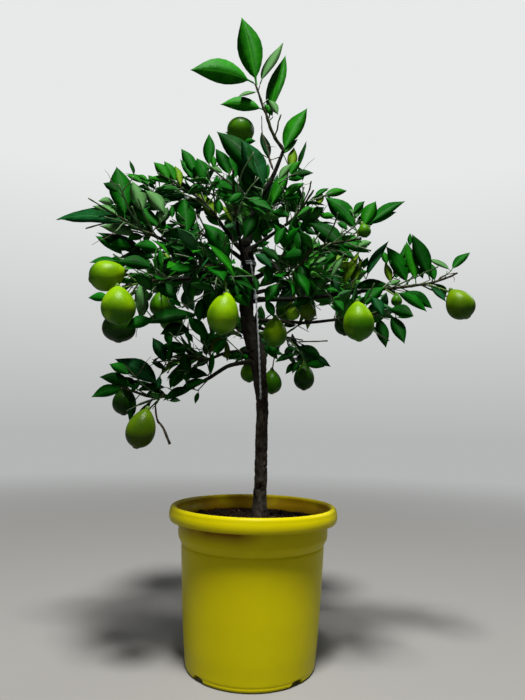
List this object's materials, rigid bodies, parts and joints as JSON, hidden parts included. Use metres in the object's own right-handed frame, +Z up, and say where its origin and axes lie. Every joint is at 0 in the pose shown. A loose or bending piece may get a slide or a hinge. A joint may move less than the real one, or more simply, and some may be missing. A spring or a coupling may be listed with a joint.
{
  "type": "potted limequat tree",
  "caption": "Young potted limequat tree: leaning forked trunk in a round plastic pot, airy leafy crown with small green and yellow-green fruit.",
  "frame": {"origin": "centre of the pot's flat underside", "axes": "+Z up along the pot's axis, +X to the right as seen from the front, +Y away from the front"},
  "size_m": [0.5093, 0.3006, 0.783],
  "materials": {
    "pot": "semi-gloss moulded",
    "soil": "crumbly dark potting mix",
    "bark": "fissured grey-brown bark",
    "foliage": "leathery, semi-gloss",
    "string": "matt"
  },
  "bodies": {
    "root": {"pot": "pot", "soil": "soil", "trunk": "bark", "tie_string": "string", "bough_leader": "bark", "bough_upper_left": "bark", "bough_middle_left": "bark", "bough_front_top": "bark", "bough_far_left": "bark", "bough_left": "bark", "bough_front_left": "bark", "bough_low_middle": "bark", "bough_low_left": "bark", "bough_upper_right": "bark", "bough_right": "bark", "bough_centre_right": "bark", "bough_right_shoot": "bark", "bough_right_low": "bark", "bough_under_right": "bark", "bough_back_left": "bark", "bough_back_top": "bark", "bough_back_right": "bark", "bough_back_low": "bark", "foliage_leader": "foliage", "foliage_upper_left": "foliage", "foliage_middle_left": "foliage", "foliage_front_top": "foliage", "foliage_far_left": "foliage", "foliage_left": "foliage", "foliage_front_left": "foliage", "foliage_low_middle": "foliage", "foliage_low_left": "foliage", "foliage_upper_right": "foliage", "foliage_right": "foliage", "foliage_centre_right": "foliage", "foliage_right_shoot": "foliage", "foliage_right_low": "foliage", "foliage_under_right": "foliage", "foliage_back_left": "foliage", "foliage_back_top": "foliage", "foliage_back_right": "foliage", "foliage_back_low": "foliage"}
  },
  "joints": []
}
